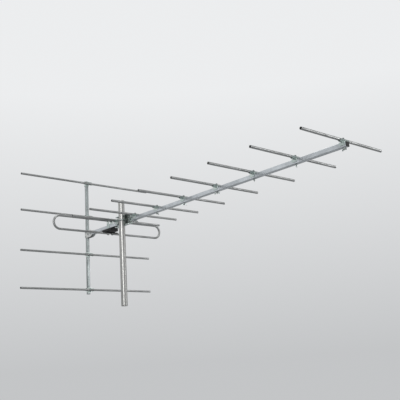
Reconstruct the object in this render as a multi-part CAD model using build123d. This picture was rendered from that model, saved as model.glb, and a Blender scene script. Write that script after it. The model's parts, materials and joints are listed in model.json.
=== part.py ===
from build123d import *
import math
import os

# High-band VHF yagi antenna on a short mast. Millimetres.
# Origin: centre of the mast's foot. +X forward along the boom, +Y to the right, +Z up.

# Mast
mast_diameter = 33.7
mast_wall = 1.6
mast_length = 570.0
mast_above_boom = 110.0

# Boom, a square tube
boom_size = 20.0
boom_wall = 1.2
boom_corner = 2.0
boom_past_last_director = 16.0

# Upright reflector bar, a smaller square tube behind the boom
bar_size = 16.0
bar_wall = 1.2
bar_corner = 1.5
bar_above_top_reflector = 14.0
bar_below_low_reflector = 22.0
boom_to_bar_gap = 4.0

# Elements, from the reflectors forward
element_diameter = 12.0
element_wall = 1.0
mast_to_reflectors = 390.0
reflector_length = 860.0
reflector_heights = (311.0, 104.0, -121.0, -327.0)
first_director_gaps = (84.0, 164.0, 194.0, 216.0)
director_pitch = 240.0
director_lengths = (575.0, 564.0, 555.0, 547.0, 541.0, 534.0, 529.0, 500.0)

# Folded dipole, a loop round the boom
reflectors_to_dipole = 222.0
dipole_length = 714.0
dipole_top_height = 35.4
dipole_low_depth = 38.0
dipole_feed_gap = 16.0

# Pressed element bracket: a channel over the boom or bar, with a cradle across it
bracket_sheet = 1.5
bracket_length = 28.0
bracket_side_depth = 13.0
bracket_clearance = 0.2
cradle_length = 54.0
cradle_floor = 4.8
cradle_angle = 60.0
cradle_lip = 1.0
bracket_bend = 1.2
bracket_corner = 4.3
seat_gap = 0.1

# Small fasteners of the elements
small_thread = 5.0
small_head_across = 8.0
small_head_height = 3.5
small_washer_diameter = 10.0
small_washer_thickness = 1.0
hole_clearance = 0.4
thread_clearance = 0.2
bolt_end = 4.0
head_chamfer_share = 1 / 6
director_nut_turns = (35.0, 110.0, 70.0, -38.0, -28.0, 48.0, 60.0, 15.0)
reflector_nut_turns = (20.0, 65.0, -40.0, 80.0)

# Wing nut, as shares of its thread
wing_hub_top = 0.8
wing_hub_height = 1.0
wing_span = 2.6
wing_rise = 2.1
wing_tip = 1.1
wing_corner = 0.4
wing_thickness = 0.32
wing_root = 0.75
wing_root_low = 0.15
wing_root_high = 0.95
wing_shoulder = 0.9

# Mast clamp: a channel with toothed V notches, a U-bolt and two short bolts
clamp_sheet = 2.5
clamp_width = 124.0
clamp_height = 58.0
clamp_flange = 22.0
clamp_bend = 2.0
clamp_corner = 7.3
mast_stand_off = 3.65
notch_half_angle = 56.0
tooth_pitch = 3.2
tooth_depth = 1.3
teeth_per_side = 6
large_thread = 6.0
large_washer_diameter = 12.5
large_washer_thickness = 1.6
large_head_across = 10.0
large_head_height = 4.0
clamp_bolt_spread = 106.0
u_nut_turns = (75.0, 100.0)

# Joggled plates that join the boom to the bar
plate_sheet = 2.0
plate_height = 42.0
plate_nose = 24.0
plate_on_boom = 58.0
plate_behind_bar = 4.0
plate_taper = 22.0
plate_corner = 4.0
plate_first_bolt = 14.0
plate_bolt_pitch = 28.0
bar_bolt_spread = 26.0
nut_height = 4.0
short_bolt_end = 2.0

# Square tube plugs
cap_flange = 2.0
cap_depth = 10.0
cap_wall = 1.6
cap_clearance = 0.2
cap_edge = 0.8

# Dipole bracket: a strap under the boom, with an ear on each side for the top arm
ear_sheet = 2.0
ear_width = 23.0
ear_above_arm = 15.0
ear_corner = 11.0
arm_hole_clearance = 0.3

# Terminal box under the boom: its length lies along the boom
box_length = 90.0
box_width = 50.0
box_wall = 2.2
box_corner = 5.0
box_edge = 1.2
lid_thickness = 2.4
seal_thickness = 1.0
seal_width = 1.6
lid_screw_diameter = 3.0
lid_screw_head = 5.6
lid_screw_head_height = 1.8
lid_screw_length = 11.0
lid_boss_diameter = 7.0
lid_boss_length = 13.0
lid_screw_from_end = 7.0
cradle_wall = 2.0
arm_lug_length = 40.0
terminal_spread = 30.0
terminal_thread = 4.0
terminal_head = 8.0
terminal_head_height = 2.8
terminal_nut_across = 7.0
terminal_nut_height = 3.0
post_diameter = 9.0
board_clearance_below = 6.5
board_thickness = 1.6
board_side_gap = 1.5
board_end_gap = 1.6
terminal_end = 1.2

# Balun transformer: a two-hole ferrite core with a wire loop through the holes
core_length = 12.0
core_width = 11.0
core_height = 6.0
core_hole = 3.0
core_hole_pitch = 5.2
core_corner = 2.0
wire_diameter = 0.9
wire_turns = 2

# Threaded coaxial socket in the floor of the box
socket_from_cradle = 1.0
socket_thread = 9.4
socket_thread_length = 9.0
socket_lead_in = 0.5
socket_bore = 6.8
socket_neck = 10.6
socket_flange = 13.4
socket_flange_thickness = 1.5
socket_nut_across = 13.0
socket_nut_height = 2.6
insulator_recess = 1.0
contact_diameter = 2.2
contact_bore = 1.1

# How far off an edge or corner may lie and still be picked
pick = 0.1

# Places worked out from the sizes above
mast_radius = mast_diameter / 2
element_radius = element_diameter / 2
half_boom = boom_size / 2
half_bar = bar_size / 2
boom_y = mast_radius + mast_stand_off + clamp_sheet + half_boom
boom_z = mast_length - mast_above_boom
cradle_tilt = math.radians(cradle_angle)
seat_distance = element_radius + seat_gap
axis_above_floor = (seat_distance - cradle_floor / 2 * math.sin(cradle_tilt)) / math.cos(cradle_tilt)
element_rise = bracket_sheet + axis_above_floor
reflector_x = -mast_to_reflectors
bar_x = reflector_x - element_rise - half_bar
bar_front = bar_x + half_bar
boom_rear = bar_front + boom_to_bar_gap
dipole_x = reflector_x + reflectors_to_dipole
director_gaps = [*first_director_gaps] + [director_pitch] * (len(director_lengths) - len(first_director_gaps))
director_x = [dipole_x + sum(director_gaps[: i + 1]) for i in range(len(director_gaps))]
boom_front = director_x[-1] + boom_past_last_director
bar_bottom = boom_z + min(reflector_heights) - bar_below_low_reflector
bar_top = boom_z + max(reflector_heights) + bar_above_top_reflector
small_hole = small_thread + hole_clearance
large_hole = large_thread + hole_clearance
terminal_hole = terminal_thread + hole_clearance
box_top = boom_z - half_boom - ear_sheet
box_bottom = boom_z - dipole_low_depth + element_radius + seat_gap
box_height = box_top - box_bottom
board_bottom = box_bottom + box_wall + board_clearance_below
box_rear = dipole_x - box_length / 2
board_length = box_length - 2 * (lid_thickness + seal_thickness + lid_boss_length + board_end_gap)
box_inner_width = box_width - 2 * box_wall

os.makedirs("parts", exist_ok=True)


def save(name, *solids):
    """Write one sub-part; several solids are a group of like pieces."""
    shape = solids[0] if len(solids) == 1 else Compound(children=list(solids))
    shape.label = name
    export_step(shape, f"parts/{name}.step")


def inner_corner(corner, wall):
    return corner - wall / 2


def square_tube(size, wall, corner, length):
    """Square tube along +Z from the origin."""
    inner = size - 2 * wall
    outside = RectangleRounded(size, size, corner)
    inside = RectangleRounded(inner, inner, inner_corner(corner, wall))
    return extrude(outside - inside, length)


def round_tube(diameter, wall, length):
    """Round tube along Z, centred on the origin."""
    return Cylinder(diameter / 2, length) - Cylinder(diameter / 2 - wall, length)


def drill(diameter, length):
    """Straight hole along Z, centred on the origin."""
    return Cylinder(diameter / 2, length)


def hexagon(across):
    return RegularPolygon(across / 2, 6, major_radius=False)


def hex_corner(across):
    """Distance from a hexagon's centre to its corners."""
    return across / 2 / math.cos(math.radians(30))


def hex_bolt(thread, across, head, length):
    """Bolt with its head above the origin and its shank down -Z."""
    top = extrude(hexagon(across), head)
    top = chamfer(top.edges().group_by(Axis.Z)[-1], head * head_chamfer_share)
    shank = Pos(0, 0, -length / 2) * Cylinder(thread / 2, length)
    return top + shank


def hex_nut(thread, across, height):
    """Nut that stands on the origin."""
    bore = Pos(0, 0, height / 2) * drill(thread + thread_clearance, height)
    return extrude(hexagon(across), height) - bore


def washer(outer, thickness, hole):
    """Flat washer that stands on the origin."""
    return extrude(Circle(outer / 2) - Circle(hole / 2), thickness)


def wing_nut(thread):
    """Wing nut that stands on the origin, wings along X. Its sizes follow the thread."""
    hub_height = thread * wing_hub_height
    hub = Cone(thread, thread * wing_hub_top, hub_height, align=(Align.CENTER, Align.CENTER, Align.MIN))
    root = thread * wing_root
    span = thread * wing_span
    rise = thread * wing_rise
    tip = thread * wing_tip
    wing = make_face(Polyline(
        (root, thread * wing_root_low), (span, thread * wing_shoulder), (span, rise), (span - tip, rise),
        (root, thread * wing_root_high), (root, thread * wing_root_low)))
    wing = fillet(wing.vertices().filter_by(lambda corner: corner.X > root + tip / 2), thread * wing_corner)
    blade = extrude(Plane.XZ * wing, thread * wing_thickness / 2, both=True)
    bore = Pos(0, 0, hub_height) * drill(thread + thread_clearance, 3 * hub_height)
    return hub + blade + Rot(0, 0, 180) * blade - bore


def square_cap(size, wall, corner):
    """Tube plug: flange above the origin, hollow plug down -Z."""
    plug = size - 2 * wall - cap_clearance
    hollow = plug - 2 * cap_wall
    flange = extrude(RectangleRounded(size, size, corner), cap_flange)
    flange = fillet(flange.edges().group_by(Axis.Z)[-1], cap_edge)
    sleeve = extrude(
        RectangleRounded(plug, plug, inner_corner(corner, wall)) - Rectangle(hollow, hollow), -cap_depth)
    return flange + sleeve


def element_bracket(carrier):
    """Pressed bracket on a carrier whose top face is at the origin, carrier along X, element along Y."""
    inner = carrier / 2 + bracket_clearance
    outer = inner + bracket_sheet
    channel = Polyline((-outer, bracket_sheet), (-outer, -bracket_side_depth), (-inner, -bracket_side_depth),
                       (-inner, 0), (inner, 0), (inner, -bracket_side_depth), (outer, -bracket_side_depth),
                       (outer, bracket_sheet), (-outer, bracket_sheet))
    straddle = extrude(Plane.YZ * make_face(channel), bracket_length / 2, both=True)
    bends = straddle.edges().filter_by(Axis.X).filter_by(
        lambda edge: edge.center().Z > bracket_sheet / 2)
    straddle = fillet(bends, bracket_bend)
    corners = straddle.edges().filter_by(Axis.Y).filter_by(
        lambda edge: edge.center().Z < -bracket_sheet)
    straddle = fillet(corners, bracket_corner)
    slope = 1 / math.tan(cradle_tilt)
    side = bracket_sheet / math.sin(cradle_tilt)
    rise = axis_above_floor + cradle_lip
    foot = cradle_floor / 2
    floor = bracket_sheet
    trough = Polyline(
        (foot, floor), (foot + rise * slope, floor + rise), (foot + rise * slope + side, floor + rise),
        (foot + side - floor * slope, 0), (-foot - side + floor * slope, 0),
        (-foot - rise * slope - side, floor + rise), (-foot - rise * slope, floor + rise), (-foot, floor),
        (foot, floor))
    cradle = extrude(Plane.XZ * make_face(trough), cradle_length / 2, both=True)
    hollow = Polyline(
        (foot, floor), (foot + rise * slope, floor + rise), (-foot - rise * slope, floor + rise),
        (-foot, floor), (foot, floor))
    space = extrude(Plane.XZ * make_face(hollow), cradle_length / 2, both=True)
    return straddle + cradle - space - drill(small_hole, carrier)


def element(length, cross_hole):
    """Tube along Y through the origin, drilled down Z for its bolt."""
    tube = Rot(90, 0, 0) * round_tube(element_diameter, element_wall, length)
    return tube - drill(cross_hole, 2 * element_diameter)


def on_boom(x):
    """Top face of the boom at x: carrier along X, element along Y."""
    return Pos(x, boom_y, boom_z + half_boom)


def on_bar(height):
    """Front face of the bar: its normal is +X, carrier along Z, element along Y."""
    return Pos(bar_front, boom_y, boom_z + height) * Rot(0, 90, 0)


def under_carrier(carrier, turn):
    """Far side of the carrier, seen from its element: the washer and nut stand there."""
    return Pos(0, 0, -carrier) * Rot(180, 0, turn)


# Mast
save("mast_tube", Pos(0, 0, mast_length / 2) * round_tube(mast_diameter, mast_wall, mast_length))

# Where the bolts cross the boom
u_bolt_radius = mast_radius + large_thread / 2 + seat_gap
clamp_bolts_x = (-clamp_bolt_spread / 2, clamp_bolt_spread / 2)
plate_bolts_x = (boom_rear + plate_first_bolt, boom_rear + plate_first_bolt + plate_bolt_pitch)
bar_bolts_z = (-bar_bolt_spread / 2, bar_bolt_spread / 2)

# Boom, drilled down Z for the directors and dipole, and across Y for the clamp and rear plates
boom = Pos(boom_rear, boom_y, boom_z) * Rot(0, 90, 0) * square_tube(
    boom_size, boom_wall, boom_corner, boom_front - boom_rear)
for x in director_x + [dipole_x]:
    boom -= Pos(x, boom_y, boom_z) * drill(small_hole, 2 * boom_size)
for x in (-u_bolt_radius, u_bolt_radius) + clamp_bolts_x:
    boom -= Pos(x, boom_y, boom_z) * Rot(90, 0, 0) * drill(large_hole, 2 * boom_size)
for x in plate_bolts_x:
    boom -= Pos(x, boom_y, boom_z) * Rot(90, 0, 0) * drill(small_hole, 2 * boom_size)
save("boom", boom)
cap = square_cap(boom_size, boom_wall, boom_corner)
save("boom_cap", Pos(boom_front, boom_y, boom_z) * Rot(0, 90, 0) * cap)

# Reflector bar, drilled along X for the reflectors and across Y for the rear plates
bar = Pos(bar_x, boom_y, bar_bottom) * square_tube(bar_size, bar_wall, bar_corner, bar_top - bar_bottom)
for height in reflector_heights:
    bar -= Pos(bar_x, boom_y, boom_z + height) * Rot(0, 90, 0) * drill(small_hole, 2 * bar_size)
for z in bar_bolts_z:
    bar -= Pos(bar_x, boom_y, boom_z + z) * Rot(90, 0, 0) * drill(small_hole, 2 * bar_size)
save("reflector_bar", bar)
cap = square_cap(bar_size, bar_wall, bar_corner)
save("bar_caps", Pos(bar_x, boom_y, bar_top) * cap, Pos(bar_x, boom_y, bar_bottom) * Rot(180, 0, 0) * cap)

# Elements with their brackets, bolts, washers and wing nuts
grip = element_rise + element_radius + max(boom_size, bar_size) + small_washer_thickness
bolt_length = grip + small_thread + bolt_end
bolts, washers, nuts = [], [], []


def fit_element(name, bracket_name, seat, carrier, length, turn):
    """Place one element and what holds it on a seat of the boom or bar."""
    save(bracket_name, seat * element_bracket(carrier))
    save(name, seat * Pos(0, 0, element_rise) * element(length, small_hole))
    bolts.append(seat * Pos(0, 0, element_rise + element_radius) * hex_bolt(
        small_thread, small_head_across, small_head_height, bolt_length))
    far = seat * under_carrier(carrier, turn)
    washers.append(far * washer(small_washer_diameter, small_washer_thickness, small_hole))
    nuts.append(far * Pos(0, 0, small_washer_thickness) * wing_nut(small_thread))


for i, (height, turn) in enumerate(zip(reflector_heights, reflector_nut_turns), 1):
    fit_element(f"reflector_{i}", f"reflector_bracket_{i}", on_bar(height), bar_size, reflector_length, turn)
for i, (x, length, turn) in enumerate(zip(director_x, director_lengths, director_nut_turns), 1):
    fit_element(f"director_{i}", f"director_bracket_{i}", on_boom(x), boom_size, length, turn)
save("element_bolts", *bolts)
save("element_washers", *washers)
save("element_wing_nuts", *nuts)

# Rear plates: each follows the boom's side, steps in to the bar's side and ends behind it
plate_front = boom_rear + plate_on_boom
plate_rear = bar_x - half_bar - plate_behind_bar


def rear_plate(side):
    boom_face = half_boom
    bar_face = half_bar
    plan = Polyline(
        (plate_front, boom_face), (boom_rear, boom_face), (bar_front, bar_face), (plate_rear, bar_face),
        (plate_rear, bar_face + plate_sheet), (bar_front, bar_face + plate_sheet),
        (boom_rear, boom_face + plate_sheet), (plate_front, boom_face + plate_sheet),
        (plate_front, boom_face))
    plate = extrude(make_face(plan), plate_height / 2, both=True)
    taper_start = boom_rear + plate_on_boom - plate_taper
    outline = Polyline(
        (plate_rear, -plate_height / 2), (taper_start, -plate_height / 2), (plate_front, -plate_nose / 2),
        (plate_front, plate_nose / 2), (taper_start, plate_height / 2), (plate_rear, plate_height / 2),
        (plate_rear, -plate_height / 2))
    side_view = make_face(outline)
    side_view = fillet(side_view.vertices(), plate_corner)
    plate = plate & extrude(Plane.XZ * side_view, boom_size + plate_sheet, both=True)
    for x in plate_bolts_x:
        plate -= Pos(x, 0, 0) * Rot(90, 0, 0) * drill(small_hole, 2 * boom_size)
    for z in bar_bolts_z:
        plate -= Pos(bar_x, 0, z) * Rot(90, 0, 0) * drill(small_hole, 2 * boom_size)
    if side < 0:
        plate = mirror(plate, Plane.XZ)
    return Pos(0, boom_y, boom_z) * plate


save("rear_plate_left", rear_plate(-1))
save("rear_plate_right", rear_plate(1))

rear_bolts, rear_nuts = [], []
rear_places = [(x, 0, half_boom) for x in plate_bolts_x] + [(bar_x, z, half_bar) for z in bar_bolts_z]
for x, z, face in rear_places:
    reach = face + plate_sheet
    head_seat = Pos(x, boom_y - reach, boom_z + z) * Rot(90, 0, 0)
    nut_seat = Pos(x, boom_y + reach, boom_z + z) * Rot(-90, 0, 0)
    rear_bolts.append(head_seat * hex_bolt(
        small_thread, small_head_across, small_head_height, 2 * reach + nut_height + short_bolt_end))
    rear_nuts.append(nut_seat * hex_nut(small_thread, small_head_across, nut_height))
save("rear_bolts", *rear_bolts)
save("rear_nuts", *rear_nuts)

# Mast clamp: web on the boom's left side, two flanges towards the mast
web_back = boom_y - half_boom
web_face = web_back - clamp_sheet
flange_edge = web_face - clamp_flange
clamp_inner = clamp_height - 2 * clamp_sheet


def notch():
    """Toothed V notch, open towards -Y, whose teeth touch the mast."""
    tilt = math.radians(notch_half_angle)
    apex = (mast_radius + seat_gap) / math.sin(tilt)
    along = (math.sin(tilt), -math.cos(tilt))
    inward = (math.cos(tilt), math.sin(tilt))
    contact = apex * math.cos(tilt)
    first = contact - tooth_pitch * teeth_per_side / 2
    side = [(0.0, apex)]
    for i in range(teeth_per_side):
        valley = first + tooth_pitch * i
        crest = valley + tooth_pitch / 2
        side.append((along[0] * valley + inward[0] * tooth_depth,
                     apex + along[1] * valley + inward[1] * tooth_depth))
        side.append((along[0] * crest, apex + along[1] * crest))
    mouth = (apex - flange_edge + pick) / math.cos(tilt)
    side.append((along[0] * mouth, apex + along[1] * mouth))
    other = [(-x, y) for x, y in reversed(side[1:])]
    return make_face(Polyline(*side, *other, side[0]))


def clamp_bracket():
    section = Polyline(
        (web_back, clamp_height / 2), (flange_edge, clamp_height / 2), (flange_edge, clamp_inner / 2),
        (web_face, clamp_inner / 2), (web_face, -clamp_inner / 2), (flange_edge, -clamp_inner / 2),
        (flange_edge, -clamp_height / 2), (web_back, -clamp_height / 2), (web_back, clamp_height / 2))
    channel = extrude(Plane.YZ * make_face(section), clamp_width / 2, both=True)
    along_x = channel.edges().filter_by(Axis.X)
    outside = along_x.filter_by(lambda edge: edge.center().Y > web_back - pick)
    channel = fillet(outside, clamp_bend + clamp_sheet)
    inside = channel.edges().filter_by(Axis.X).filter_by(
        lambda edge: abs(edge.center().Y - web_face) < pick).filter_by(
        lambda edge: abs(abs(edge.center().Z) - clamp_inner / 2) < pick)
    channel = fillet(inside, clamp_bend)
    corners = channel.edges().filter_by(Axis.Z).filter_by(lambda edge: edge.center().Y < flange_edge + pick)
    channel = fillet(corners, clamp_corner)
    channel -= extrude(notch(), clamp_height, both=True)
    for x in (-u_bolt_radius, u_bolt_radius) + clamp_bolts_x:
        channel -= Pos(x, web_back, 0) * Rot(90, 0, 0) * drill(large_hole, 4 * clamp_sheet)
    return Pos(0, 0, boom_z) * channel


save("clamp_bracket", clamp_bracket())

# U-bolt round the mast, its legs through the clamp and the boom
far_side = boom_y + half_boom
leg_end = far_side + large_washer_thickness + large_thread + bolt_end
bend = JernArc(start=(u_bolt_radius, 0), tangent=(0, -1), radius=u_bolt_radius, arc_size=-180)
u_path = Line((u_bolt_radius, leg_end), (u_bolt_radius, 0)) + bend + Line(
    (-u_bolt_radius, 0), (-u_bolt_radius, leg_end))
u_section = Plane(origin=(u_bolt_radius, leg_end, 0), z_dir=(0, -1, 0)) * Circle(large_thread / 2)
save("u_bolt", Pos(0, 0, boom_z) * sweep(u_section, path=u_path))

clamp_bolts, clamp_washers, clamp_nuts = [], [], []
for x in clamp_bolts_x:
    head_seat = Pos(x, far_side, boom_z) * Rot(-90, 0, 0)
    nut_seat = Pos(x, web_face, boom_z) * Rot(90, 0, 0)
    clamp_bolts.append(head_seat * hex_bolt(
        large_thread, large_head_across, large_head_height,
        boom_size + clamp_sheet + large_washer_thickness + large_thread + bolt_end))
    clamp_washers.append(nut_seat * washer(large_washer_diameter, large_washer_thickness, large_hole))
    clamp_nuts.append(nut_seat * Pos(0, 0, large_washer_thickness) * Rot(0, 0, 90) * wing_nut(large_thread))
for x, turn in zip((-u_bolt_radius, u_bolt_radius), u_nut_turns):
    nut_seat = Pos(x, far_side, boom_z) * Rot(-90, 0, 0)
    clamp_washers.append(nut_seat * washer(large_washer_diameter, large_washer_thickness, large_hole))
    clamp_nuts.append(nut_seat * Pos(0, 0, large_washer_thickness) * Rot(0, 0, turn) * wing_nut(large_thread))
save("clamp_bolts", *clamp_bolts)
save("clamp_washers", *clamp_washers)
save("clamp_wing_nuts", *clamp_nuts)

# Folded dipole: one tube, cut at the middle of its lower arm
loop_radius = (dipole_top_height + dipole_low_depth) / 2
arm_reach = dipole_length / 2 - element_radius - loop_radius
feed_end = dipole_feed_gap / 2
loop = (Line((feed_end, -dipole_low_depth), (arm_reach, -dipole_low_depth))
        + JernArc(start=(arm_reach, -dipole_low_depth), tangent=(1, 0), radius=loop_radius, arc_size=180)
        + Line((arm_reach, dipole_top_height), (-arm_reach, dipole_top_height))
        + JernArc(start=(-arm_reach, dipole_top_height), tangent=(-1, 0), radius=loop_radius, arc_size=180)
        + Line((-arm_reach, -dipole_low_depth), (-feed_end, -dipole_low_depth)))
loop_start = Plane(origin=(feed_end, -dipole_low_depth, 0), z_dir=(1, 0, 0))
tube_section = Circle(element_radius) - Circle(element_radius - element_wall)
dipole = Plane.YZ * sweep(loop_start * tube_section, path=loop)
dipole = Pos(dipole_x, boom_y, boom_z) * dipole
terminal_y = (boom_y - terminal_spread / 2, boom_y + terminal_spread / 2)
low_arm_z = boom_z - dipole_low_depth
for y in terminal_y:
    dipole -= Pos(dipole_x, y, low_arm_z) * drill(terminal_hole, 2 * element_diameter)
save("folded_dipole", dipole)

# Dipole bracket: strap under the boom, ears up both sides with a hole for the top arm
ear_top = dipole_top_height + ear_above_arm
ear_inner = half_boom + bracket_clearance
ear_outer = ear_inner + ear_sheet
strap = Polyline(
    (-ear_outer, ear_top), (-ear_outer, -half_boom - ear_sheet), (ear_outer, -half_boom - ear_sheet),
    (ear_outer, ear_top), (ear_inner, ear_top), (ear_inner, -half_boom), (-ear_inner, -half_boom),
    (-ear_inner, ear_top), (-ear_outer, ear_top))
ears = extrude(Plane.YZ * make_face(strap), ear_width / 2, both=True)
ears = fillet(ears.edges().filter_by(Axis.Y).filter_by(
    lambda edge: edge.center().Z > ear_top - pick), ear_corner)
ears -= Pos(0, 0, dipole_top_height) * Rot(90, 0, 0) * drill(
    element_diameter + 2 * arm_hole_clearance, 4 * boom_size)
ears -= Pos(0, 0, -half_boom) * drill(small_hole, 4 * ear_sheet)
save("dipole_bracket", Pos(dipole_x, boom_y, boom_z) * ears)

# Bolt from inside the box, up through the strap and the boom
box_bolt_seat = Pos(dipole_x, boom_y, box_top - box_wall) * Rot(180, 0, 0)
box_bolt_length = box_wall + ear_sheet + boom_size + nut_height + short_bolt_end
save("box_bolt", box_bolt_seat * hex_bolt(
    small_thread, small_head_across, small_head_height, box_bolt_length))
save("box_bolt_nut", Pos(dipole_x, boom_y, boom_z + half_boom) * hex_nut(
    small_thread, small_head_across, nut_height))

# Terminal box: open at the back, with lugs under its floor that cradle the ends of the lower arm
box_centre_z = (box_top + box_bottom) / 2
body_front = dipole_x + box_length / 2
body_rear = box_rear + lid_thickness + seal_thickness
body_length = body_front - body_rear
body_centre_x = (body_front + body_rear) / 2
lid_screws_y = (boom_y - box_width / 2 + lid_screw_from_end, boom_y + box_width / 2 - lid_screw_from_end)
mouth = RectangleRounded(box_width, box_height, box_corner)
inner_mouth = RectangleRounded(box_inner_width, box_height - 2 * box_wall, box_corner - box_wall)
facing_back = Plane(origin=(body_rear, boom_y, box_centre_z), x_dir=(0, 1, 0), z_dir=(1, 0, 0))
shell = extrude(facing_back * mouth, body_length)
shell = fillet(shell.edges().group_by(Axis.X)[-1], box_edge)
shell -= extrude(facing_back * inner_mouth, body_length - box_wall)
for y in lid_screws_y:
    boss = Pos(body_rear + lid_boss_length / 2, y, box_centre_z) * Rot(0, 90, 0)
    shell += boss * Cylinder(lid_boss_diameter / 2, lid_boss_length)
    shell += Pos(body_rear + lid_boss_length / 2, y, box_centre_z) * Box(
        lid_boss_length, box_wall, box_height - box_wall)
    shell -= boss * drill(lid_screw_diameter + thread_clearance, lid_boss_length)
for y in terminal_y:
    shell += Pos(dipole_x, y, board_bottom / 2 + (box_bottom + box_wall) / 2) * Cylinder(
        post_diameter / 2, board_bottom - box_bottom - box_wall)
    outward = math.copysign(1, y - boom_y)
    lug_y = boom_y + outward * (feed_end + arm_lug_length / 2)
    lug = Box(element_diameter + 2 * cradle_wall, arm_lug_length, element_radius + box_wall)
    lug = fillet(lug.edges().group_by(Axis.Z)[-1], box_edge)
    lug = Pos(dipole_x, lug_y, box_bottom + (box_wall - element_radius) / 2) * lug
    lug -= Pos(dipole_x, lug_y, low_arm_z) * Rot(90, 0, 0) * drill(
        element_diameter + 2 * seat_gap, 2 * arm_lug_length)
    shell += lug
    shell -= Pos(dipole_x, y, box_bottom) * drill(terminal_hole, 2 * board_clearance_below + 4 * box_wall)
# A rib between the two lugs keeps the arm's ends apart
rib_width = dipole_feed_gap - 2 * seat_gap
shell += Pos(dipole_x, boom_y, box_bottom - element_radius / 2) * Box(
    element_diameter, rib_width, element_radius)
shell -= Pos(dipole_x, boom_y, box_top) * drill(small_hole, 4 * box_wall)
socket_x = dipole_x - element_radius - socket_from_cradle - hex_corner(socket_nut_across)
shell -= Pos(socket_x, boom_y, box_bottom) * drill(socket_neck + thread_clearance, 4 * box_wall)
save("terminal_box", shell)

# Lid, seal and screws on the back
lid = extrude(Plane(origin=(box_rear, boom_y, box_centre_z), x_dir=(0, 1, 0), z_dir=(1, 0, 0)) * mouth,
              lid_thickness)
lid = fillet(lid.edges().group_by(Axis.X)[0], box_edge)
seal_outer = RectangleRounded(box_width - seal_thickness, box_height - seal_thickness, box_corner)
seal_inner = RectangleRounded(
    box_width - seal_thickness - 2 * seal_width, box_height - seal_thickness - 2 * seal_width,
    box_corner - seal_width)
seal = extrude(Plane(origin=(box_rear + lid_thickness, boom_y, box_centre_z), x_dir=(0, 1, 0),
                     z_dir=(1, 0, 0)) * (seal_outer - seal_inner), seal_thickness)
lid_screws = []
for y in lid_screws_y:
    seat = Pos(box_rear, y, box_centre_z) * Rot(0, -90, 0)
    lid -= seat * drill(lid_screw_diameter + hole_clearance, 4 * lid_thickness)
    head = extrude(Circle(lid_screw_head / 2), lid_screw_head_height)
    head = fillet(head.edges().group_by(Axis.Z)[-1], lid_screw_head_height / 2)
    shank = Pos(0, 0, -lid_screw_length / 2) * Cylinder(lid_screw_diameter / 2, lid_screw_length)
    lid_screws.append(seat * (head + shank))
save("terminal_box_lid", lid)
save("lid_seal", seal)
save("lid_screws", *lid_screws)

# Terminal screws, up through the arm's ends, the floor and the board
board_top = board_bottom + board_thickness
arm_underside = low_arm_z - element_radius
screw_length = board_top + terminal_nut_height + terminal_end - arm_underside
terminal_screws, terminal_nuts = [], []
for y in terminal_y:
    head = extrude(Circle(terminal_head / 2), terminal_head_height)
    head = fillet(head.edges().group_by(Axis.Z)[-1], terminal_head_height / 2)
    shank = Pos(0, 0, -screw_length / 2) * Cylinder(terminal_thread / 2, screw_length)
    terminal_screws.append(Pos(dipole_x, y, arm_underside) * Rot(180, 0, 0) * (head + shank))
    terminal_nuts.append(Pos(dipole_x, y, board_top) * hex_nut(
        terminal_thread, terminal_nut_across, terminal_nut_height))
save("terminal_screws", *terminal_screws)
save("terminal_nuts", *terminal_nuts)

# Balun board with its ferrite core and wire loops
board = Box(board_length, box_inner_width - 2 * board_side_gap, board_thickness)
board = Pos(dipole_x, boom_y, board_bottom + board_thickness / 2) * board
for y in terminal_y:
    board -= Pos(dipole_x, y, board_bottom) * drill(terminal_hole, 4 * board_thickness)
board -= Pos(socket_x, boom_y, board_bottom) * drill(contact_diameter + hole_clearance, 4 * board_thickness)
save("balun_board", board)

core_z = board_top + seat_gap + core_height / 2
core_x = dipole_x + (hex_corner(small_head_across) + board_length / 2) / 2
core = Box(core_length, core_width, core_height)
core = fillet(core.edges().filter_by(Axis.X), core_corner)
for side in (-1, 1):
    core -= Pos(0, side * core_hole_pitch / 2, 0) * Rot(0, 90, 0) * drill(core_hole, 2 * core_length)
save("balun_core", Pos(core_x, boom_y, core_z) * core)


def wire_turn(shift):
    """One closed turn of wire through both holes of the core."""
    half_pitch = core_hole_pitch / 2 + shift
    reach = core_length / 2
    path = (Line((-reach, half_pitch), (reach, half_pitch))
            + JernArc(start=(reach, half_pitch), tangent=(1, 0), radius=half_pitch, arc_size=-180)
            + Line((reach, -half_pitch), (-reach, -half_pitch))
            + JernArc(start=(-reach, -half_pitch), tangent=(-1, 0), radius=half_pitch, arc_size=-180))
    start = Plane(origin=(-reach, half_pitch, 0), z_dir=(1, 0, 0))
    return sweep(start * Circle(wire_diameter / 2), path=path)


turn_pitch = wire_diameter + seat_gap
turns = [wire_turn(turn_pitch * (i - (wire_turns - 1) / 2)) for i in range(wire_turns)]
save("balun_winding", *[Pos(core_x, boom_y, core_z) * turn for turn in turns])

# Coaxial socket: neck through the floor, threaded barrel below its nut, insulator and sprung contact
socket_top = box_bottom + box_wall
neck_low = box_bottom - socket_nut_height
barrel_low = neck_low - socket_thread_length
at_socket = Pos(socket_x, boom_y, 0)
shell_profile = Polyline(
    (socket_bore / 2, barrel_low), (socket_thread / 2 - socket_lead_in, barrel_low),
    (socket_thread / 2, barrel_low + socket_lead_in), (socket_thread / 2, neck_low),
    (socket_neck / 2, neck_low), (socket_neck / 2, socket_top), (socket_flange / 2, socket_top),
    (socket_flange / 2, socket_top + socket_flange_thickness),
    (socket_thread / 2, socket_top + socket_flange_thickness), (socket_thread / 2, board_bottom),
    (socket_bore / 2, board_bottom), (socket_bore / 2, barrel_low))
save("coax_socket", at_socket * revolve(Plane.XZ * make_face(shell_profile), Axis.Z))
insulator_low = barrel_low + insulator_recess
insulator_height = board_bottom - insulator_low
insulator = extrude(Circle(socket_bore / 2) - Circle(contact_diameter / 2), insulator_height)
save("socket_insulator", at_socket * Pos(0, 0, insulator_low) * insulator)
contact_low = insulator_low + insulator_recess
contact_height = board_top + insulator_recess - contact_low
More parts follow.
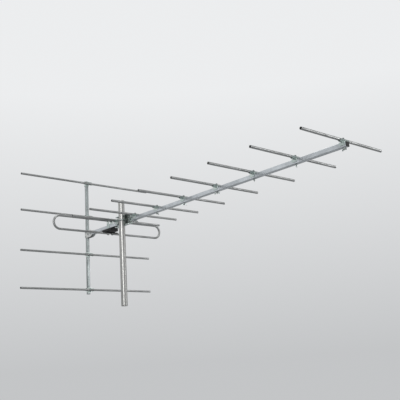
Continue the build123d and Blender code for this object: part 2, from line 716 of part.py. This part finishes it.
contact = extrude(Circle(contact_diameter / 2), contact_height)
contact -= extrude(Circle(contact_bore / 2), socket_thread_length)
save("socket_contact", at_socket * Pos(0, 0, contact_low) * contact)
save("socket_nut", at_socket * Pos(0, 0, neck_low) * hex_nut(
    socket_neck, socket_nut_across, socket_nut_height))
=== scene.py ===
# %% [markdown]
# # A VHF antenna on a short mast
# This is a rooftop antenna for the high VHF band: a square boom with eight directors, a folded dipole with
# its terminal box, an upright bar with four reflectors, and the top of the mast that carries it all. Nearly
# all of it is aluminium tube, held together by pressed and zinc-plated steel. The frame already holds every
# piece at its real size and place, in metres. X runs forward along the boom, Y to its right and Z up. So
# this lesson is about finishes, small fasteners, light and the camera.

# %% Load the frame
import json
import math

import bmesh
import bpy
from mathutils import Matrix, Vector


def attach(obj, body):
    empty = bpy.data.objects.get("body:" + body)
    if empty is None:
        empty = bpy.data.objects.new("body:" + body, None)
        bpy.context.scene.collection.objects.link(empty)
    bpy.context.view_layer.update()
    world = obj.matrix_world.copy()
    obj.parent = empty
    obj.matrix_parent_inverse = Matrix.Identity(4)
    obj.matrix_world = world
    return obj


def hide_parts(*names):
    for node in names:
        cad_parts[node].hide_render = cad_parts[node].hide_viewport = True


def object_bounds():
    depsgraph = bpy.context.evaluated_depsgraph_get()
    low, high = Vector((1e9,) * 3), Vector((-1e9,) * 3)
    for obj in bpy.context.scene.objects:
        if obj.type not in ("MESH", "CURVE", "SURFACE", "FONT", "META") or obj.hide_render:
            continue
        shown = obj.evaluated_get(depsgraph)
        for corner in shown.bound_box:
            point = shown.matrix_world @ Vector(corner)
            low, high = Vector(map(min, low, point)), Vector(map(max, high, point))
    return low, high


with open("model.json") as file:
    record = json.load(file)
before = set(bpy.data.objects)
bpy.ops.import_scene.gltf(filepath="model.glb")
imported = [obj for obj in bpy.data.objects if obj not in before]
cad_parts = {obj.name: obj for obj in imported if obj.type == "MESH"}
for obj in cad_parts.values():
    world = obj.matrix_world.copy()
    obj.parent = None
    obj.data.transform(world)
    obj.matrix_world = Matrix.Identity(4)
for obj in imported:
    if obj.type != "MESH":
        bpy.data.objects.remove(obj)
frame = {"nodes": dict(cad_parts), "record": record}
nodes = frame["nodes"]
cad_low, cad_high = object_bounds()
print("pieces in the frame:", len(nodes))

# %% [markdown]
# ## Camera
# The photograph looks up at the antenna from in front of its right-hand side, from below the foot of the
# mast. A camera can be aimed with a constraint and moved until it looks right, but here its place and turns
# were worked out from where the tube ends lie in the picture, so they are set as numbers. The shift moves
# the frame a pixel or two, because the photograph was cut a little off its centre.

# %% Camera
camera_place = Vector((2.8142, -1.9425, -0.3074))
camera_heading = 48.304
camera_tilt = 13.942
camera_roll = -3.578
picture_side = 400
sensor_width = 36
focal_pixels = 641.4
axis_pixel = (198.51, 202.27)

camera_data = bpy.data.cameras.new("camera")
camera_data.sensor_width = sensor_width
camera_data.lens = focal_pixels / picture_side * sensor_width
camera_data.shift_x = (picture_side / 2 - axis_pixel[0]) / picture_side
camera_data.shift_y = (axis_pixel[1] - picture_side / 2) / picture_side
camera = bpy.data.objects.new("camera", camera_data)
bpy.context.collection.objects.link(camera)
heading = Matrix.Rotation(math.radians(camera_heading), 4, "Z")
level = Matrix.Rotation(math.radians(90), 4, "X")
tilt = Matrix.Rotation(math.radians(camera_tilt), 4, "X")
roll = Matrix.Rotation(math.radians(camera_roll), 4, "Z")
camera.matrix_world = Matrix.Translation(camera_place) @ heading @ level @ tilt @ roll
bpy.context.scene.camera = camera
print("camera looks along", [round(v, 3) for v in -camera.matrix_world.col[2].xyz])

# %% [markdown]
# ## Helpers for materials
# Every finish here is made of the same few parts: a noise that may be stretched along a tube, a ramp that
# turns it into colours or roughness, and a bump. Object coordinates are used, because the frame's meshes
# keep their real place in metres: one scale then means the same size on every piece, and no unwrapping is
# needed.

# %% Material helpers
def new_material(name):
    material = bpy.data.materials.new(name)
    material.use_nodes = True
    return material, material.node_tree, material.node_tree.nodes["Principled BSDF"]


def noise(tree, scale, detail=2.0, stretch=(1, 1, 1)):
    """Noise in object coordinates, with waves per metre in scale."""
    place = tree.nodes.new("ShaderNodeTexCoord")
    mapping = tree.nodes.new("ShaderNodeMapping")
    mapping.inputs["Scale"].default_value = stretch
    texture = tree.nodes.new("ShaderNodeTexNoise")
    texture.inputs["Scale"].default_value = scale
    texture.inputs["Detail"].default_value = detail
    tree.links.new(place.outputs["Object"], mapping.inputs["Vector"])
    tree.links.new(mapping.outputs["Vector"], texture.inputs["Vector"])
    return texture.outputs["Fac"]


def between(tree, value, low, high, start=0.3, end=0.7):
    """Turn noise into a number from low to high."""
    span = tree.nodes.new("ShaderNodeMapRange")
    span.inputs["From Min"].default_value = start
    span.inputs["From Max"].default_value = end
    span.inputs["To Min"].default_value = low
    span.inputs["To Max"].default_value = high
    tree.links.new(value, span.inputs["Value"])
    return span.outputs["Result"]


def colours(tree, value, *stops):
    """Turn noise into colours: each stop is a place from 0 to 1 and a colour."""
    ramp = tree.nodes.new("ShaderNodeValToRGB")
    while len(ramp.color_ramp.elements) < len(stops):
        ramp.color_ramp.elements.new(0.5)
    for element, (place, colour) in zip(ramp.color_ramp.elements, stops):
        element.position = place
        element.color = (*colour, 1)
    tree.links.new(value, ramp.inputs["Fac"])
    return ramp.outputs["Color"]


def shaded(colour, factor):
    """A colour made darker or lighter by a factor."""
    return tuple(channel * factor for channel in colour)


def bump(tree, shader, height, depth):
    """Raise the surface by depth metres where height is 1."""
    relief = tree.nodes.new("ShaderNodeBump")
    relief.inputs["Distance"].default_value = depth
    relief.inputs["Strength"].default_value = 1.0
    tree.links.new(height, relief.inputs["Height"])
    tree.links.new(relief.outputs["Normal"], shader.inputs["Normal"])


# %% [markdown]
# ## Drawn aluminium tube
# The boom, the bar and all the elements are tube as it leaves the mill. The die leaves fine lines along the
# tube, and handling leaves duller patches a few centimetres long. A brushed look could come from
# anisotropy, but the lines on a die-drawn tube are few and long, so noise stretched along the tube shows
# them more truly. Each tube direction needs its own stretch.

# %% Tube material
line_scale = 900.0
line_length = 0.006
line_depth = 0.00004
line_shade = 0.86
patch_scale = 22.0
dull_patch = 0.86
bright_patch = 1.1


def drawn_tube(name, along, colour, roughness):
    material, tree, shader = new_material(name)
    stretch = [1.0, 1.0, 1.0]
    stretch["XYZ".index(along)] = line_length
    lines = noise(tree, line_scale, 3.0, stretch)
    patches = noise(tree, patch_scale, 4.0)
    dull = shaded(colour, dull_patch)
    bright = shaded(colour, bright_patch)
    tint = colours(tree, patches, (0.25, dull), (0.5, colour), (0.8, bright))
    streak = colours(tree, lines, (0.3, (line_shade, line_shade, line_shade)), (0.7, (1.0, 1.0, 1.0)))
    blend = tree.nodes.new("ShaderNodeMix")
    blend.data_type = "RGBA"
    blend.blend_type = "MULTIPLY"
    blend.inputs["Factor"].default_value = 1.0
    tree.links.new(tint, blend.inputs[6])
    tree.links.new(streak, blend.inputs[7])
    tree.links.new(blend.outputs[2], shader.inputs["Base Color"])
    tree.links.new(between(tree, patches, roughness + 0.08, roughness - 0.06), shader.inputs["Roughness"])
    shader.inputs["Metallic"].default_value = 1.0
    bump(tree, shader, lines, line_depth)
    return material


boom_metal = drawn_tube("boom_metal", "X", (0.42, 0.445, 0.465), 0.30)
# The bar is the same square tube as the boom, but its copy of the colour is darker: painted shade for the
# darker reflections on the bar.
bar_metal_painted_shade = drawn_tube("bar_metal_painted_shade", "Z", (0.28, 0.305, 0.305), 0.36)
element_metal = drawn_tube("element_metal", "Y", (0.29, 0.295, 0.293), 0.36)
print("tube finishes:", boom_metal.name, bar_metal_painted_shade.name, element_metal.name)

# %% [markdown]
# ## Galvanised mast
# The mast is steel tube with a zinc coat. Zinc freezes in crystals a few millimetres wide, each a slightly
# different grey. A Voronoi texture has just such cells, so its cell colour drives the grey and the
# roughness.

# %% Mast material
crystal_scale = 260.0
dark_crystal = 0.86
bright_crystal = 1.08
ripple_scale = 90.0
ripple_depth = 0.00006
mast_grey = (0.34, 0.34, 0.33)


def galvanised(name, colour):
    material, tree, shader = new_material(name)
    place = tree.nodes.new("ShaderNodeTexCoord")
    cells = tree.nodes.new("ShaderNodeTexVoronoi")
    cells.inputs["Scale"].default_value = crystal_scale
    tree.links.new(place.outputs["Object"], cells.inputs["Vector"])
    grey = tree.nodes.new("ShaderNodeSeparateColor")
    tree.links.new(cells.outputs["Color"], grey.inputs["Color"])
    crystal = grey.outputs[0]
    tint = colours(tree, crystal, (0.0, shaded(colour, dark_crystal)), (1.0, shaded(colour, bright_crystal)))
    tree.links.new(tint, shader.inputs["Base Color"])
    tree.links.new(between(tree, crystal, 0.30, 0.42, 0.0, 1.0), shader.inputs["Roughness"])
    shader.inputs["Metallic"].default_value = 1.0
    bump(tree, shader, noise(tree, ripple_scale, 5.0), ripple_depth)
    return material


mast_metal = galvanised("mast_metal", mast_grey)
print("mast finish:", mast_metal.name)

# %% [markdown]
# ## Zinc-plated steel
# The pressed brackets and the clamp are plated and passivated, which leaves a faint green and yellow cast
# in soft patches. The plates at the rear have weathered to a plain, duller grey, which scatters more light
# than it mirrors, and the bolts and nuts are a darker zinc that has lost its first shine. One function
# makes all three from a pair of colours: the patches blend between the two, and a fine grain breaks the
# shine.

# %% Plated material
stain_scale = 70.0
stain_shade = 0.88
plating_grain = 2600.0
plating_depth = 0.00002


def plated(name, cold, warm, roughness, metallic=1.0):
    material, tree, shader = new_material(name)
    patches = noise(tree, stain_scale, 3.0)
    tint = colours(tree, patches, (0.3, shaded(cold, stain_shade)), (0.5, cold), (0.72, warm))
    tree.links.new(tint, shader.inputs["Base Color"])
    grain = noise(tree, plating_grain, 2.0)
    tree.links.new(between(tree, grain, roughness - 0.05, roughness + 0.08), shader.inputs["Roughness"])
    shader.inputs["Metallic"].default_value = metallic
    bump(tree, shader, grain, plating_depth)
    return material


bracket_metal = plated("bracket_metal", (0.40, 0.455, 0.44), (0.52, 0.55, 0.52), 0.38)
plate_metal = plated("plate_metal", (0.48, 0.49, 0.49), (0.56, 0.56, 0.54), 0.5, metallic=0.35)
fastener_metal = plated("fastener_metal", (0.29, 0.32, 0.315), (0.38, 0.40, 0.38), 0.38)
print("plated finishes:", bracket_metal.name, plate_metal.name, fastener_metal.name)

# %% [markdown]
# ## Plastics, rubber and the small parts of the box
# The caps and the box are moulded plastic with a fine spark-eroded grain, which a bump from a small noise
# gives. The seal is matt rubber. Inside the box are a green board, a dark ferrite core, enamelled copper
# wire, and the plated brass of the socket with its white insulator. Each is one short call with its own
# colour and grain.

# %% Moulded material
cloud_scale = 35.0
dark_cloud = 0.85
bright_cloud = 1.12


def moulded(name, colour, roughness, grain_scale=1800.0, grain_depth=0.00003, gloss=0.5):
    material, tree, shader = new_material(name)
    grain = noise(tree, grain_scale, 3.0)
    clouds = noise(tree, cloud_scale, 3.0)
    tint = colours(tree, clouds, (0.3, shaded(colour, dark_cloud)), (0.7, shaded(colour, bright_cloud)))
    tree.links.new(tint, shader.inputs["Base Color"])
    tree.links.new(between(tree, grain, roughness - 0.06, roughness + 0.08), shader.inputs["Roughness"])
    shader.inputs["Specular IOR Level"].default_value = gloss
    bump(tree, shader, grain, grain_depth)
    return material


def wire_enamel(name, colour):
    """Bare copper under a clear coat."""
    material, tree, shader = new_material(name)
    tint = colours(tree, noise(tree, 400.0), (0.35, shaded(colour, 0.8)), (0.65, colour))
    tree.links.new(tint, shader.inputs["Base Color"])
    shader.inputs["Metallic"].default_value = 1.0
    shader.inputs["Roughness"].default_value = 0.25
    shader.inputs["Coat Weight"].default_value = 0.8
    return material


cap_plastic = moulded("cap_plastic", (0.24, 0.245, 0.25), 0.5)
box_plastic = moulded("box_plastic", (0.012, 0.012, 0.013), 0.55, gloss=0.25)
seal_rubber = moulded("seal_rubber", (0.02, 0.02, 0.02), 0.75)
board_laminate = moulded("board_laminate", (0.05, 0.16, 0.07), 0.35, grain_scale=900.0, grain_depth=0.00001)
ferrite = moulded("ferrite", (0.045, 0.045, 0.05), 0.6, grain_scale=3000.0)
insulator_plastic = moulded("insulator_plastic", (0.75, 0.75, 0.72), 0.4)
winding_wire = wire_enamel("winding_wire", (0.62, 0.22, 0.09))
socket_metal = plated("socket_metal", (0.60, 0.58, 0.52), (0.66, 0.62, 0.52), 0.22)
print("finishes so far:", len(bpy.data.materials))

# %% [markdown]
# ## Dressing the frame
# The record names a material slot for every piece, so one table from slot to finish dresses them all. The
# boom and the bar share a slot but run different ways, and the bar's copy is darker as painted shade, so the
# bar is set by name, and so are the two rear plates.

# %% Dress every piece
finish_of_slot = {
    "element_aluminium": element_metal,
    "square_tube_aluminium": boom_metal,
    "mast_steel": mast_metal,
    "zinc_sheet": bracket_metal,
    "zinc_fasteners": fastener_metal,
    "grey_plastic": cap_plastic,
    "black_plastic": box_plastic,
    "seal_rubber": seal_rubber,
    "board": board_laminate,
    "ferrite": ferrite,
    "copper_wire": winding_wire,
    "plated_brass": socket_metal,
    "white_plastic": insulator_plastic,
}
finish_of_node = {"reflector_bar": bar_metal_painted_shade, "rear_plate_left": plate_metal, "rear_plate_right": plate_metal}


def dress(piece, material):
    for holder in piece.material_slots:
        holder.material = material


for part in frame["record"]["subparts"]:
    node = part["node"]
    dress(nodes[node], finish_of_node.get(node, finish_of_slot[part["material_slot"]]))

# %% [markdown]
# ## Threads
# Every bolt, both legs of the U-bolt and the coaxial socket carry a thread, and the frame has plain
# cylinders there. A bump could fake one, but it would cross the heads as well and leave the outline smooth.
# So each thread is a real ridge: a triangle swept along a helix, whose turns meet at the root. The plain
# shank of a copied bolt is first drawn back from its tip by the length of the thread, and a core as thick
# as the root fills in.

# %% Separate solids of a mesh
def solids_of(shape):
    """The vertices of a mesh in one list for each separate solid."""
    seen = set()
    found = []
    for first in shape.verts:
        if first in seen:
            continue
        seen.add(first)
        solid = [first]
        for vertex in solid:
            for edge in vertex.link_edges:
                neighbour = edge.other_vert(vertex)
                if neighbour not in seen:
                    seen.add(neighbour)
                    solid.append(neighbour)
        found.append(solid)
    return found


def box_of(solid):
    """The lowest and highest corners of the box round some vertices."""
    low = Vector([min(vertex.co[i] for vertex in solid) for i in range(3)])
    high = Vector([max(vertex.co[i] for vertex in solid) for i in range(3)])
    return low, high


def off_axis(point, middle, along):
    """The part of a point's distance from the middle that lies square to an axis."""
    arm = point - middle
    return arm - along * arm.dot(along)


def towards_tip(solid):
    """Direction of a bolt from its head to its tip: its longest side, away from its widest point."""
    low, high = box_of(solid)
    middle = (low + high) / 2
    size = high - low
    along = Vector([float(size[i] == max(size)) for i in range(3)])
    widest = max(solid, key=lambda vertex: off_axis(vertex.co, middle, along).length)
    return -along if (widest.co - middle).dot(along) > 0 else along


# %% A thread
thread_depth_share = 0.61
steps_per_turn = 18
least_crest = 0.02
print("a thread is this share of its pitch deep:", thread_depth_share)


def thread_ridge(shape, start, along, radius, pitch, length):
    """Closed helical ridge round an axis that begins at start, with both ends run out to almost nothing."""
    across = along.orthogonal().normalized()
    upright = along.cross(across)
    root = radius - pitch * thread_depth_share
    steps = int(length / pitch * steps_per_turn)
    rows = []
    for step in range(steps + 1):
        turn = 2 * math.pi * step / steps_per_turn
        outward = across * math.cos(turn) + upright * math.sin(turn)
        place = start + along * (pitch / 2 + (length - pitch) * step / steps)
        fade = min(1.0, step / steps_per_turn, (steps - step) / steps_per_turn)
        crest = root + (radius - root) * max(fade, least_crest)
        rows.append([shape.verts.new(place - along * pitch / 2 + outward * root),
                     shape.verts.new(place + outward * crest),
                     shape.verts.new(place + along * pitch / 2 + outward * root)])
    for row, following in zip(rows, rows[1:]):
        for side in (0, 1, 2):
            shape.faces.new((row[side - 1], following[side - 1], following[side], row[side]))
    shape.faces.new(rows[0])
    shape.faces.new(rows[-1])
    return root


def core(shape, start, along, radius, length, bevel):
    """Solid round core with a bevelled end at start."""
    across = along.orthogonal().normalized()
    upright = along.cross(across)
    turns = [2 * math.pi * step / steps_per_turn for step in range(steps_per_turn)]
    spokes = [across * math.cos(turn) + upright * math.sin(turn) for turn in turns]
    rings = []
    for distance, ring_radius in ((0.0, radius - bevel), (bevel, radius), (length, radius)):
        middle = start + along * distance
        rings.append([shape.verts.new(middle + spoke * ring_radius) for spoke in spokes])
    shape.faces.new(list(reversed(rings[0])))
    shape.faces.new(rings[-1])
    for ring, following in zip(rings, rings[1:]):
        for i in range(steps_per_turn):
            shape.faces.new((ring[i - 1], ring[i], following[i], following[i - 1]))


# %% Copy a fastener to work on
weld_distance = 0.000001
crease_angle = 32


def copied(node, name):
    """A mesh of the same shape as a frame piece, to be worked on and then put in its place."""
    shape = bmesh.new()
    shape.from_mesh(nodes[node].data)
    bmesh.ops.remove_doubles(shape, verts=shape.verts, dist=weld_distance)
    return shape, bpy.data.meshes.new(name)


def put_in_place(shape, mesh, node, material):
    """Show the finished mesh instead of the frame's piece."""
    bmesh.ops.recalc_face_normals(shape, faces=shape.faces)
    shape.to_mesh(mesh)
    shape.free()
    mesh.shade_smooth()
    mesh.set_sharp_from_angle(angle=math.radians(crease_angle))
    mesh.materials.append(material)
    piece = bpy.data.objects.new(mesh.name, mesh)
    bpy.context.collection.objects.link(piece)
    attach(piece, "root")
    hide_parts(node)
    print(mesh.name, "triangles:", sum(len(face.vertices) - 2 for face in mesh.polygons))


# %% Threaded bolts
tip_reach = 0.0001
leg_width = 0.010
core_overlap = 0.00001


def tips_of(solid, along):
    """The end vertices in one direction, in one list for each leg."""
    furthest = max(vertex.co.dot(along) for vertex in solid)
    legs = []
    for vertex in solid:
        if vertex.co.dot(along) > furthest - tip_reach:
            near = [leg for leg in legs if (leg[0].co - vertex.co).length < leg_width]
            if near:
                near[0].append(vertex)
            else:
                legs.append([vertex])
    return legs


def cut_threads(node, pitch, length, tipward=None):
    """Turn the last length of every shank into a thread, in a given direction or away from each head."""
    shape, mesh = copied(node, "threaded_" + node)
    for solid in solids_of(shape):
        outward = towards_tip(solid) if tipward is None else tipward
        for tip in tips_of(solid, outward):
            low, high = box_of(tip)
            end = (low + high) / 2
            radius = max(high - low) / 2
            for vertex in tip:
                vertex.co -= outward * length
            root = thread_ridge(shape, end, -outward, radius, pitch, length)
            core(shape, end, -outward, root + core_overlap, length, pitch / 2)
    put_in_place(shape, mesh, node, fastener_metal)


small_pitch = 0.0008
large_pitch = 0.0010
cut_threads("element_bolts", small_pitch, length=0.016)
cut_threads("rear_bolts", small_pitch, length=0.012)
cut_threads("box_bolt", small_pitch, length=0.012)
cut_threads("clamp_bolts", large_pitch, length=0.020)
cut_threads("u_bolt", large_pitch, length=0.030, tipward=Vector((0, 1, 0)))

# %% [markdown]
# ## Thread on the socket
# The cable's plug screws onto the barrel of the socket under the box. The barrel is hollow, so it can't be
# drawn back and filled with a core as a bolt can. Instead its outer wall is drawn in to the thread's root,
# which leaves the bore alone, and the same ridge runs round it.

# %% Threaded socket
socket_pitch = 0.00079
socket_radius = 0.0047
socket_lead_in = 0.0005
socket_thread_length = 0.0085
height_slack = 0.0001
radius_slack = 0.00005


def thread_the_socket():
    """Draw the barrel in to the root and run a ridge round it, from the lead-in up to the neck."""
    shape, mesh = copied("coax_socket", "threaded_socket")
    low, high = box_of(shape.verts)
    middle = (low + high) / 2
    start = Vector((middle.x, middle.y, low.z + socket_lead_in))
    up = Vector((0, 0, 1))
    depth = socket_pitch * thread_depth_share
    for vertex in shape.verts:
        arm = off_axis(vertex.co, middle, up)
        in_barrel = vertex.co.z < start.z + socket_thread_length + height_slack
        if in_barrel and abs(arm.length - socket_radius) < radius_slack:
            vertex.co -= arm.normalized() * (depth - core_overlap)
    thread_ridge(shape, start, up, socket_radius, socket_pitch, socket_thread_length)
    put_in_place(shape, mesh, "coax_socket", socket_metal)


thread_the_socket()

# %% [markdown]
# ## Crosses in the screws
# The screws of the lid and of the terminals have a cross in their heads for the screwdriver. A dark cross
# in the material would look right only from afar. So a tapered plus is cut out of each head with a Boolean,
# whose result is kept as a plain mesh.

# %% Cross-shaped cutter
above_head = 0.001
taper = 0.6


def add_plus(cutter, centre, inward, arm, width, depth):
    """A plus-shaped plug that starts above a screw's head and narrows down to the recess's depth."""
    across = inward.orthogonal().normalized()
    upright = inward.cross(across)
    corners = []
    for ahead, left in ((across, upright), (upright, -across), (-across, -upright), (-upright, across)):
        aside = left * width / 2
        corners += [ahead * arm - aside, ahead * arm + aside, ahead * width / 2 + aside]
    top = [cutter.verts.new(centre - inward * above_head + corner) for corner in corners]
    bottom = [cutter.verts.new(centre + inward * depth + corner * taper) for corner in corners]
    cutter.faces.new(top)
    cutter.faces.new(list(reversed(bottom)))
    for i in range(len(corners)):
        cutter.faces.new((top[i - 1], bottom[i - 1], bottom[i], top[i]))
    bmesh.ops.recalc_face_normals(cutter, faces=cutter.faces)


# %% Recessed screws
def loose_object(shape, name):
    """An object for a modifier to work on."""
    mesh = bpy.data.meshes.new(name)
    shape.to_mesh(mesh)
    shape.free()
    loose = bpy.data.objects.new(name, mesh)
    bpy.context.collection.objects.link(loose)
    return loose


def cut_crosses(node, arm, width, depth):
    """Take a cross out of the head of every screw of a node."""
    shape, mesh = copied(node, "recessed_" + node)
    cutter = bmesh.new()
    for solid in solids_of(shape):
        low, high = box_of(solid)
        inward = towards_tip(solid)
        head = (low + high) / 2 - inward * max(high - low) / 2
        add_plus(cutter, head, inward, arm, width, depth)
    screws = loose_object(shape, "screws")
    plugs = loose_object(cutter, "plugs")
    cut = screws.modifiers.new("cross", "BOOLEAN")
    cut.operation = "DIFFERENCE"
    cut.solver = "EXACT"
    cut.object = plugs
    bpy.context.view_layer.update()
    recessed = bmesh.new()
    recessed.from_mesh(screws.evaluated_get(bpy.context.evaluated_depsgraph_get()).to_mesh())
    bpy.data.objects.remove(screws)
    bpy.data.objects.remove(plugs)
    put_in_place(recessed, mesh, node, fastener_metal)


cut_crosses("terminal_screws", arm=0.0024, width=0.0010, depth=0.0013)
cut_crosses("lid_screws", arm=0.0017, width=0.0008, depth=0.0010)

# %% [markdown]
# ## Floor, backdrop and light
# The antenna is held up by its mast, so the floor lies well below it. The backdrop is the world's own pale
# colour, seen by the camera and in reflections alike. A floor that simply ends would show its rim, and a
# very large one a hard horizon, so far from the antenna its paint fades into the backdrop's colour. Metal
# shows mostly what surrounds it, so each lamp is placed by what mirrors it: an upright one stands where the
# round mast shows it as one bright line, and a large dim one, like a window, where the flat side of the
# boom shows it. A small one ahead of the boom brightens the far halves of the directors. The boom's
# underside mirrors the floor, and so it stays a shade darker than the side.

# %% Floor
clear_below_mast = 1.0
floor_height = cad_low.z - clear_below_mast
floor_radius = 30.0
floor_segments = 96
fade_start = 2.0
fade_end = 6.0
floor_pale = (0.62, 0.63, 0.64)
low_pale = (0.55, 0.56, 0.57)
high_pale = (0.84, 0.85, 0.86)


def seen_or_mirrored(tree):
    """1 for rays that the eye or a shiny surface sends, 0 for rays that only gather light."""
    path = tree.nodes.new("ShaderNodeLightPath")
    seen = path.outputs["Is Camera Ray"]
    for kind in ("Is Glossy Ray", "Is Transmission Ray"):
        either = tree.nodes.new("ShaderNodeMath")
        either.operation = "MAXIMUM"
        tree.links.new(seen, either.inputs[0])
        tree.links.new(path.outputs[kind], either.inputs[1])
        seen = either.outputs[0]
    return seen


def floor_paint():
    """Matt paint that turns into the backdrop's colour far from the antenna."""
    material, tree, shader = new_material("floor_paint")
    shader.inputs["Base Color"].default_value = (*floor_pale, 1)
    shader.inputs["Roughness"].default_value = 0.8
    place = tree.nodes.new("ShaderNodeTexCoord")
    flat = tree.nodes.new("ShaderNodeVectorMath")
    flat.operation = "MULTIPLY"
    flat.inputs[1].default_value = (1, 1, 0)
    tree.links.new(place.outputs["Object"], flat.inputs[0])
    distance = tree.nodes.new("ShaderNodeVectorMath")
    distance.operation = "LENGTH"
    tree.links.new(flat.outputs["Vector"], distance.inputs[0])
    far = between(tree, distance.outputs["Value"], 0.0, 1.0, fade_start, fade_end)
    both = tree.nodes.new("ShaderNodeMath")
    both.operation = "MULTIPLY"
    tree.links.new(far, both.inputs[0])
    tree.links.new(seen_or_mirrored(tree), both.inputs[1])
    glow = tree.nodes.new("ShaderNodeEmission")
    glow.inputs["Color"].default_value = (*low_pale, 1)
    fade = tree.nodes.new("ShaderNodeMixShader")
    tree.links.new(both.outputs[0], fade.inputs["Fac"])
    tree.links.new(shader.outputs[0], fade.inputs[1])
    tree.links.new(glow.outputs[0], fade.inputs[2])
    tree.links.new(fade.outputs[0], tree.nodes["Material Output"].inputs["Surface"])
    return material


def make_floor():
    mesh = bpy.data.meshes.new("floor")
    shape = bmesh.new()
    bmesh.ops.create_circle(shape, cap_ends=True, radius=floor_radius, segments=floor_segments)
    bmesh.ops.translate(shape, verts=shape.verts, vec=(0, 0, floor_height))
    shape.to_mesh(mesh)
    shape.free()
    floor = bpy.data.objects.new("floor", mesh)
    bpy.context.collection.objects.link(floor)
    mesh.materials.append(floor_paint())


make_floor()
print("floor height:", round(floor_height, 3))

# %% World
ambient_colour = (0.80, 0.81, 0.82)
ambient_strength = 0.62
full_height = 0.4


def make_world():
    world = bpy.data.worlds.new("studio")
    bpy.context.scene.world = world
    world.use_nodes = True
    tree = world.node_tree
    ambient = tree.nodes["Background"]
    ambient.inputs["Color"].default_value = (*ambient_colour, 1)
    ambient.inputs["Strength"].default_value = ambient_strength
    backdrop = tree.nodes.new("ShaderNodeBackground")
    direction = tree.nodes.new("ShaderNodeTexCoord")
    split = tree.nodes.new("ShaderNodeSeparateXYZ")
    tree.links.new(direction.outputs["Generated"], split.inputs["Vector"])
    height = between(tree, split.outputs["Z"], 0.0, 1.0, 0.0, full_height)
    tint = colours(tree, height, (0.0, low_pale), (1.0, high_pale))
    tree.links.new(tint, backdrop.inputs["Color"])
    choose = tree.nodes.new("ShaderNodeMixShader")
    tree.links.new(seen_or_mirrored(tree), choose.inputs["Fac"])
    tree.links.new(ambient.outputs[0], choose.inputs[1])
    tree.links.new(backdrop.outputs[0], choose.inputs[2])
    tree.links.new(choose.outputs[0], tree.nodes["World Output"].inputs["Surface"])


make_world()
bpy.context.scene.view_settings.view_transform = "Standard"
print("backdrop from", low_pale, "to", high_pale)

# %% Lamps
centre = (cad_low + cad_high) / 2


def soft_lamp(name, place, width, height, power):
    """A rectangle of light that faces the middle of the antenna."""
    lamp_data = bpy.data.lights.new(name, "AREA")
    lamp_data.shape = "RECTANGLE"
    lamp_data.size = width
    lamp_data.size_y = height
    lamp_data.energy = power
    lamp = bpy.data.objects.new(name, lamp_data)
    lamp.location = place
    lamp.rotation_euler = (centre - lamp.location).to_track_quat("-Z", "Y").to_euler()
    bpy.context.collection.objects.link(lamp)
    return lamp


lamps = [
    soft_lamp("overhead", Vector((0.4, -0.6, 3.6)), width=3.0, height=2.0, power=60.0),
    soft_lamp("mast_line", Vector((3.0, -3.35, 1.4)), width=1.3, height=2.4, power=80.0),
    soft_lamp("side_window", Vector((-2.3, -2.7, 1.7)), width=3.4, height=1.8, power=11.0),
    soft_lamp("tip_light", Vector((4.2, 3.4, 0.9)), width=1.0, height=0.9, power=32.0),
]
print("lamps:", len(lamps))
